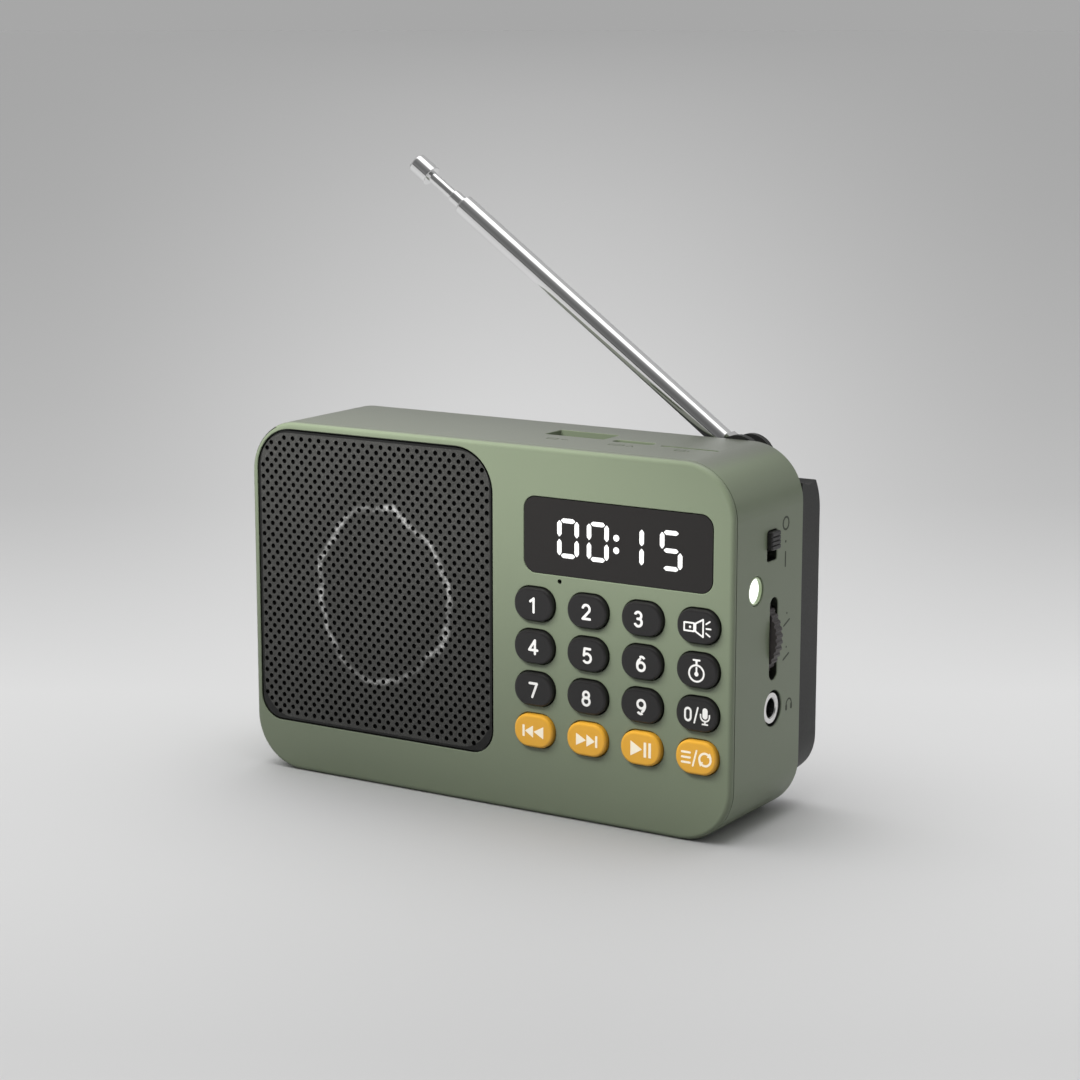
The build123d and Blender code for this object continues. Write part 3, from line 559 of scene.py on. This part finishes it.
def number_shape(char):
    def f(u, v):
        parts = []
        for kind, *q in NUMBERS[char]:
            if kind == "line":
                parts.append(seg(u, v, q[0], q[1], STROKE))
            elif kind == "ring":
                parts.append(ring(u, v, q[0], q[1], STROKE * 2))
            elif kind == "arc":
                parts.append(arc(u, v, q[0], q[1], STROKE * 2, q[2], q[3]))
            elif kind == "loop":
                cx, cy, hw, hh = q
                parts.append(np.abs(rbox(u, v, (cx, cy), hw, hh, hw)) - STROKE)
        d = parts[0]
        for e in parts[1:]:
            d = np.minimum(d, e)
        return d
    return f


def glyph(name, text, height, place, material, body, widen=1.0, thick=0.02):
    """A number scaled to the given height."""
    k = height / 3.10
    f = number_shape(text)
    return icon(name, lambda u, v: f(u / (k * widen), v / k) * k * min(widen, 1.0), 1.5 * k, 2.0 * k, place, material,
                body, step=0.06, thick=thick)


# ---------------------------------------------------------------------------
# Clock digits: 00:15
# ---------------------------------------------------------------------------
DISPLAY_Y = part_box("display_lens")[0][1] / MM
SEGMENTS = {"0": "abcdef", "1": "bc", "5": "acdfg"}


def bar(u, v, c, length, width, upright):
    """One segment: a straight bar with blunt pointed ends."""
    if upright:
        p, q = np.abs(v - c[1]), np.abs(u - c[0])
    else:
        p, q = np.abs(u - c[0]), np.abs(v - c[1])
    side = q - width / 2
    point = (p * 0.80 + q - (length / 2) * 0.80 - width * 0.10) * 0.78
    cap = p - length / 2
    return np.maximum(np.maximum(side, point), cap)


def digit(u, v, cx, cz, char):
    up, across = dict(length=3.08, width=1.04, upright=True), dict(length=3.08, width=0.94, upright=False)
    where = {"a": ((0, 3.28), across), "g": ((0, 0), across), "d": ((0, -3.28), across),
             "f": ((-1.86, 1.76), up), "b": ((1.86, 1.76), up), "e": ((-1.86, -1.76), up), "c": ((1.86, -1.76), up)}
    return union(*[bar(u, v, (cx + where[s][0][0], cz + where[s][0][1]), **where[s][1]) for s in SEGMENTS[char]])


DIGITS = [("0", 19.3), ("0", 25.65), ("1", 33.0), ("5", 40.95)]
for n, (char, cx) in enumerate(DIGITS):
    icon(f"clock_digit_{n + 1}", lambda u, v, c=char: digit(u, v, 0, 0, c) + 0.05, 3.2, 4.4,
         on_front(cx, 53.45, DISPLAY_Y), M["digit_lit"], CASE, step=0.1)
icon("clock_colon", lambda u, v: union(disc(u, v, (0, 1.15), 0.62), disc(u, v, (0, -1.15), 0.62)), 1.0, 2.2,
     on_front(29.55, 53.45, DISPLAY_Y), M["digit_lit"], CASE, step=0.08)

# ---------------------------------------------------------------------------
# Key legends
# ---------------------------------------------------------------------------
def key_place(node, du=0.0, dv=0.0):
    lo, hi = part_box(node)
    return on_front((lo[0] + hi[0]) / 2 / MM + du, (lo[2] + hi[2]) / 2 / MM + dv, lo[1] / MM)


NUMBER_SHIFT = {1: (-0.05, -0.1), 2: (0.0, 0.0), 3: (-0.55, 0.0), 4: (0.1, 0.1), 5: (0.2, -0.1), 6: (0.1, -0.15),
                7: (0.1, -0.1), 8: (0.05, -0.1), 9: (0.2, -0.1)}
for n in range(1, 10):
    glyph(f"legend_{n}", str(n), 3.15, key_place(f"key_{n}", *NUMBER_SHIFT[n]), M["legend_white"], f"key_{n}_cap")

W = 0.155


def torch_icon(u, v):
    body = np.abs(rbox(u, v, (-1.75, 0), 1.0, 0.75, 0.05)) - W
    switch = disc(u, v, (-1.55, 0.0), 0.24)
    cone = poly_line(u, v, [(-0.45, 0.72), (1.1, 1.6), (1.1, -1.6), (-0.45, -0.72), (-0.45, 0.72)], W)
    rays = union(seg(u, v, (1.75, 0), (2.65, 0), W * 0.95), seg(u, v, (1.70, 0.85), (2.45, 1.35), W * 0.95),
                 seg(u, v, (1.70, -0.85), (2.45, -1.35), W * 0.95))
    return union(body, switch, cone, rays)


def stopwatch_icon(u, v):
    return union(ring(u, v, (0, -0.42), 1.50, 0.34), seg(u, v, (-0.62, 2.02), (0.62, 2.02), 0.17),
                 seg(u, v, (0, 1.2), (0, 1.95), 0.2), seg(u, v, (0, -0.40), (0, 0.62), 0.17),
                 disc(u, v, (0, -0.55), 0.42))


def microphone_icon(u, v):
    head = seg(u, v, (0, 0.95), (0, -0.05), 0.52)
    cup = np.maximum(np.abs(seg(u, v, (0, 0.9), (0, -0.08), 0.90)) - 0.14, v - 0.35)
    return union(head, cup, seg(u, v, (0, -1.0), (0, -1.45), 0.15), seg(u, v, (-0.52, -1.55), (0.52, -1.55), 0.14))


def previous_icon(u, v):
    return union(rbox(u, v, (-2.15, 0), 0.24, 1.12, 0.05),
                 convex(u, v, [(-1.85, 0), (-0.05, -1.18), (-0.05, 1.18)]),
                 convex(u, v, [(0.05, 0), (2.2, -1.18), (2.2, 1.18)]))


def next_icon(u, v):
    return previous_icon(-u, v)


def play_pause_icon(u, v):
    return union(convex(u, v, [(-2.1, 1.45), (-2.1, -1.45), (0.35, 0.0)]),
                 rbox(u, v, (0.95, 0), 0.27, 1.42, 0.05), rbox(u, v, (1.95, 0), 0.27, 1.42, 0.05))


def mode_icon(u, v):
    """Generic: a short list of bars, a slash, and two turning arrows."""
    bars = union(seg(u, v, (-2.9, 0.95), (-1.25, 0.95), 0.2), seg(u, v, (-2.9, 0), (-1.25, 0), 0.2),
                 seg(u, v, (-2.9, -0.95), (-1.25, -0.95), 0.2))
    slash = seg(u, v, (-0.65, -1.45), (0.1, 1.45), 0.17)
    c = (1.85, 0.0)
    loop = union(arc(u, v, c, 1.15, 0.42, 55, 215), arc(u, v, c, 1.15, 0.42, 235, 395))

    def head(angle, turn):
        a = math.radians(angle)
        px, py = c[0] + 1.15 * math.cos(a), c[1] + 1.15 * math.sin(a)
        t = (math.cos(a + turn * math.pi / 2), math.sin(a + turn * math.pi / 2))
        n = (math.cos(a), math.sin(a))
        pts = [(px + n[0] * 0.55, py + n[1] * 0.55), (px - n[0] * 0.55, py - n[1] * 0.55),
               (px + t[0] * 0.85, py + t[1] * 0.85)]
        area = sum(p[0] * q[1] - q[0] * p[1] for p, q in zip(pts, pts[1:] + pts[:1]))
        return convex(u, v, pts if area > 0 else pts[::-1])
    return union(bars, slash, loop, head(55, -1), head(235, -1))


icon("legend_light", torch_icon, 3.1, 2.2, key_place("key_light", 0.15, -0.1), M["legend_white"], "key_light_cap")
icon("legend_timer", stopwatch_icon, 2.3, 2.6, key_place("key_timer", 0.0, 0.0), M["legend_white"],
     "key_timer_cap")
glyph("legend_zero", "0", 2.75, key_place("key_zero", -1.65, -0.05), M["legend_white"], "key_zero_cap",
      widen=0.92)
icon("legend_zero_slash", lambda u, v: seg(u, v, (-0.36, -1.42), (0.36, 1.42), 0.16), 0.8, 1.8,
     key_place("key_zero", 0.02, -0.05), M["legend_white"], "key_zero_cap")
icon("legend_zero_record", microphone_icon, 1.3, 2.0, key_place("key_zero", 1.85, 0.0), M["legend_white"],
     "key_zero_cap")
for nm, f, node in (("previous", previous_icon, "key_prev"), ("next", next_icon, "key_next"),
                    ("play_pause", play_pause_icon, "key_play_pause"), ("mode", mode_icon, "key_mode")):
    icon(f"legend_{nm}", f, 3.5, 2.0, key_place(node, 0.1, -0.05), M["legend_cream"], node + "_cap")

# ---------------------------------------------------------------------------
# Moulded marks on the side and the top
# ---------------------------------------------------------------------------
SIDE_X = 53.7
icon("mark_power_on", lambda u, v: seg(u, v, (0, -1.3), (0, 1.3), 0.2), 0.7, 1.8, on_right(6.5, 49.9, SIDE_X),
     M["mark_dark"], CASE)
icon("mark_power_dot", lambda u, v: disc(u, v, (0, 0), 0.26), 0.6, 0.6, on_right(6.5, 53.2, SIDE_X),
     M["mark_dark"], CASE)
icon("mark_power_off", lambda u, v: np.abs(np.hypot(u, v) - 1.15) - 0.19, 1.7, 1.7, on_right(6.5, 56.6, SIDE_X),
     M["mark_dark"], CASE)
for k, (cy, cz) in enumerate(((7.4, 37.8), (7.35, 31.4))):
    icon(f"mark_volume_{k + 1}", lambda u, v: union(seg(u, v, (-1.1, -0.45), (1.1, 0.45), 0.18),
                                                   disc(u, v, (0.1, 1.8), 0.2)),
         1.6, 2.3, on_right(cy, cz, SIDE_X), M["mark_dark"], CASE)
icon("mark_headphone", lambda u, v: union(arc(u, v, (0, -0.1), 1.05, 0.3, 0, 180),
                                          seg(u, v, (-1.0, -0.3), (-1.0, -0.85), 0.33),
                                          seg(u, v, (1.0, -0.3), (1.0, -0.85), 0.33)),
     1.8, 1.8, on_right(8.9, 22.1, SIDE_X), M["mark_dark"], CASE)

TOP_Z = 70.0
icon("mark_socket", lambda u, v: union(np.abs(rbox(u, v, (-0.9, 0), 1.1, 0.5, 0.1)) - 0.11,
                                       seg(u, v, (1.0, 0), (2.4, 0), 0.13)),
     3.0, 1.0, on_top(11.0, -4.1, TOP_Z), M["mark_soft"], CASE)
icon("mark_charge", lambda u, v: union(np.abs(rbox(u, v, (-1.2, 0), 1.5, 0.55, 0.15)) - 0.11,
                                       seg(u, v, (1.2, -0.5), (1.8, 0.5), 0.13), seg(u, v, (1.9, 0.5), (2.5, -0.5), 0.13)),
     3.2, 1.1, on_top(25.2, -4.3, TOP_Z), M["mark_soft"], CASE)
icon("mark_card", lambda u, v: union(np.abs(rbox(u, v, (0, 0), 1.0, 0.5, 0.1)) - 0.11,
                                     seg(u, v, (1.7, -0.3), (1.7, 0.3), 0.13)),
     2.6, 1.0, on_top(37.2, -3.9, TOP_Z), M["mark_soft"], CASE)

# ---------------------------------------------------------------------------
# Stage: floor, light, camera
# ---------------------------------------------------------------------------
VIEW = Vector((0.26914, -0.42226, 0.14723))
AIM = Vector((-0.520773, 0.831677, -0.192637))


def ramp_node(g, value, stops):
    n = g.node("ShaderNodeValToRGB")
    g.link(value, n.inputs[0])
    el = n.color_ramp.elements
    el[0].position, el[0].color = stops[0][0], (stops[0][1],) * 3 + (1,)
    el[1].position, el[1].color = stops[-1][0], (stops[-1][1],) * 3 + (1,)
    for pos, c in stops[1:-1]:
        el.new(pos).color = (c, c, c, 1)
    return n.outputs[0]


def stage_floor():
    """A big pale sheet with painted light: its colour fades with distance from a fixed spot, standing in for the
    falloff of light on a lit paper sweep.
    """
    bm = bmesh.new()
    bmesh.ops.create_circle(bm, cap_ends=True, segments=128, radius=30.0)
    me = bpy.data.meshes.new("studio_floor")
    bm.to_mesh(me)
    bm.free()
    ob = bpy.data.objects.new("studio_floor", me)
    scene.collection.objects.link(ob)
    ob.location = (0, 0, -0.00002)
    g = Graph("studio_floor")
    x, y, z = g.split()
    ahead = Vector((AIM.x, AIM.y, 0)).normalized()
    side = Vector((-ahead.y, ahead.x, 0))
    dx = g.math("SUBTRACT", x, VIEW.x)
    dy = g.math("SUBTRACT", y, VIEW.y)
    depth = g.math("MAXIMUM", g.math("ADD", g.math("MULTIPLY", dx, ahead.x), g.math("MULTIPLY", dy, ahead.y)), 0.05)
    across = g.math("ADD", g.math("MULTIPLY", dx, side.x), g.math("MULTIPLY", dy, side.y))
    slope = g.math("DIVIDE", VIEW.z, depth)                 # 0 at the far edge, 0.37 close by
    swing = g.math("ABSOLUTE", g.math("DIVIDE", across, depth))
    middle = ramp_node(g, g.math("MULTIPLY", slope, 2.5, clamp=True), FLOOR_PAINTED_LIGHT_MIDDLE)
    edges = ramp_node(g, g.math("MULTIPLY", slope, 2.5, clamp=True), FLOOR_PAINTED_LIGHT_EDGES)
    fac = g.ramp(swing, 0.0, 0.21)
    g.set(Base_Color=g.mix(fac, middle, edges), Roughness=0.85, Specular_IOR_Level=0.08)
    me.materials.append(g.mat)
    return ob


# slope x 2.5 -> albedo, a painted light gradient
FLOOR_PAINTED_LIGHT_MIDDLE = [(0.0, 0.37), (0.078, 0.46), (0.172, 0.54), (0.27, 0.61), (0.36, 0.68), (0.45, 0.71), (0.60, 0.755), (0.80, 0.68),
                (1.0, 0.63)]
FLOOR_PAINTED_LIGHT_EDGES = [(0.0, 0.38), (0.078, 0.385), (0.172, 0.405), (0.27, 0.44), (0.36, 0.475), (0.45, 0.525), (0.545, 0.645),
               (0.64, 0.75), (0.83, 0.72), (1.0, 0.655)]
floor = stage_floor()

world = bpy.data.worlds.new("studio")
scene.world = world
world.use_nodes = True
wn = world.node_tree
wn.nodes.clear()
w_out = wn.nodes.new("ShaderNodeOutputWorld")
w_bg = wn.nodes.new("ShaderNodeBackground")
w_tc = wn.nodes.new("ShaderNodeTexCoord")
w_sep = wn.nodes.new("ShaderNodeSeparateXYZ")
w_ramp = wn.nodes.new("ShaderNodeValToRGB")
wn.links.new(w_tc.outputs["Generated"], w_sep.inputs[0])
wn.links.new(w_sep.outputs[2], w_ramp.inputs[0])
# The room is darkest towards the front right
w_dot = wn.nodes.new("ShaderNodeVectorMath")
w_dot.operation = "DOT_PRODUCT"
w_dot.inputs[1].default_value = (0.50, -0.866, 0.0)
wn.links.new(w_tc.outputs["Generated"], w_dot.inputs[0])
w_front = wn.nodes.new("ShaderNodeMapRange")
w_front.interpolation_type = "SMOOTHSTEP"
for k, v in (("From Min", 0.0), ("From Max", 0.8), ("To Min", 1.0), ("To Max", 0.28)):
    w_front.inputs[k].default_value = v
wn.links.new(w_dot.outputs["Value"], w_front.inputs["Value"])
w_mul = wn.nodes.new("ShaderNodeMix")
w_mul.data_type = "RGBA"
w_mul.blend_type = "MULTIPLY"
w_mul.inputs[0].default_value = 1.0
wn.links.new(w_ramp.outputs[0], w_mul.inputs[6])
wn.links.new(w_front.outputs["Result"], w_mul.inputs[7])
wn.links.new(w_mul.outputs[2], w_bg.inputs[0])
wn.links.new(w_bg.outputs[0], w_out.inputs[0])
e = w_ramp.color_ramp.elements
e[0].position, e[0].color = 0.0, (0.352, 0.352, 0.352, 1)
e[1].position, e[1].color = 1.0, (1.75, 1.75, 1.75, 1)
for pos, c in ((0.010, 0.352), (0.014, 0.08), (0.07, 0.10), (0.13, 0.50), (0.5, 0.40), (0.75, 0.46), (0.89, 0.50), (0.94, 1.60)):
    e.new(pos).color = (c, c, c, 1)
w_bg.inputs["Strength"].default_value = 1.1


def place_light(name, li, loc, direction):
    ob = bpy.data.objects.new(name, li)
    scene.collection.objects.link(ob)
    ob.location = loc
    ob.rotation_euler = Vector(direction).to_track_quat("-Z", "Y").to_euler()
    ob.visible_camera = False
    ob.visible_glossy = False
    return ob


def floor_only(ob, state):
    """INCLUDE: the light falls on the floor alone. EXCLUDE: on everything but the floor."""
    coll = bpy.data.collections.new(ob.name + "_floor")
    coll.objects.link(floor)
    ob.light_linking.receiver_collection = coll
    coll.collection_objects[0].light_linking.link_state = state


def overhead(name, strength, angle, direction):
    li = bpy.data.lights.new(name, "SUN")
    li.energy = strength
    li.angle = math.radians(angle)
    return place_light(name, li, (0, 0, 1), direction)


def side_soft(energy, loc, target, size):
    li = bpy.data.lights.new("side_soft", "AREA")
    li.shape = "SQUARE"
    li.size = size
    li.energy = energy
    ob = place_light("side_soft", li, loc, Vector(target) - Vector(loc))
    floor_only(ob, "EXCLUDE")
    return ob


def front_strip(energy, loc, target, size, size_y):
    """A soft strip above the front edge, flagged below so that its light thins out towards the floor."""
    li = bpy.data.lights.new("front_strip", "AREA")
    li.shape = "RECTANGLE"
    li.size, li.size_y = size, size_y
    li.energy = energy
    ob = place_light("front_strip", li, loc, Vector(target) - Vector(loc))
    li.use_nodes = True
    nt = li.node_tree
    nt.nodes.clear()
    out = nt.nodes.new("ShaderNodeOutputLight")
    em = nt.nodes.new("ShaderNodeEmission")
    geo = nt.nodes.new("ShaderNodeNewGeometry")
    sep = nt.nodes.new("ShaderNodeSeparateXYZ")
    flag = nt.nodes.new("ShaderNodeMapRange")
    flag.interpolation_type = "SMOOTHSTEP"
    for k, v in (("From Min", FLAG[0]), ("From Max", FLAG[1]), ("To Min", FLAG[2]), ("To Max", 1.0)):
        flag.inputs[k].default_value = v
    nt.links.new(geo.outputs["Incoming"], sep.inputs[0])
    nt.links.new(sep.outputs[2], flag.inputs["Value"])
    lid = nt.nodes.new("ShaderNodeMapRange")
    lid.interpolation_type = "SMOOTHSTEP"
    for k, v in (("From Min", -0.64), ("From Max", -0.50), ("To Min", 1.0), ("To Max", 0.05)):
        lid.inputs[k].default_value = v
    nt.links.new(sep.outputs[2], lid.inputs["Value"])
    both = nt.nodes.new("ShaderNodeMath")
    both.operation = "MULTIPLY"
    nt.links.new(flag.outputs["Result"], both.inputs[0])
    nt.links.new(lid.outputs["Result"], both.inputs[1])
    nt.links.new(both.outputs[0], em.inputs["Strength"])
    nt.links.new(em.outputs[0], out.inputs[0])
    floor_only(ob, "EXCLUDE")
    return ob


FLAG = (-0.88, -0.65, 0.06)
overhead("overhead", 0.28, 80, (0.15, -0.08, -1.0))
floor_only(overhead("floor_fill", 0.97, 80, (0.36, -0.04, -1.0)), "INCLUDE")
side_soft(0.52, (0.42, 0.30, 0.16), (0.054, 0.0, 0.035), 0.14)
front_strip(1.10, (-0.03, -0.130, 0.180), (0.0, -0.0136, 0.055), 0.20, 0.05)

cam_data = bpy.data.cameras.new("camera")
cam_data.lens = 88.73
cam_data.sensor_width = 36.0
cam_data.sensor_fit = "HORIZONTAL"
cam_data.clip_start = 0.01
cam_data.clip_end = 50.0
cam = bpy.data.objects.new("camera", cam_data)
scene.collection.objects.link(cam)
cam.location = VIEW
cam.rotation_euler = AIM.to_track_quat("-Z", "Y").to_euler()
scene.camera = cam
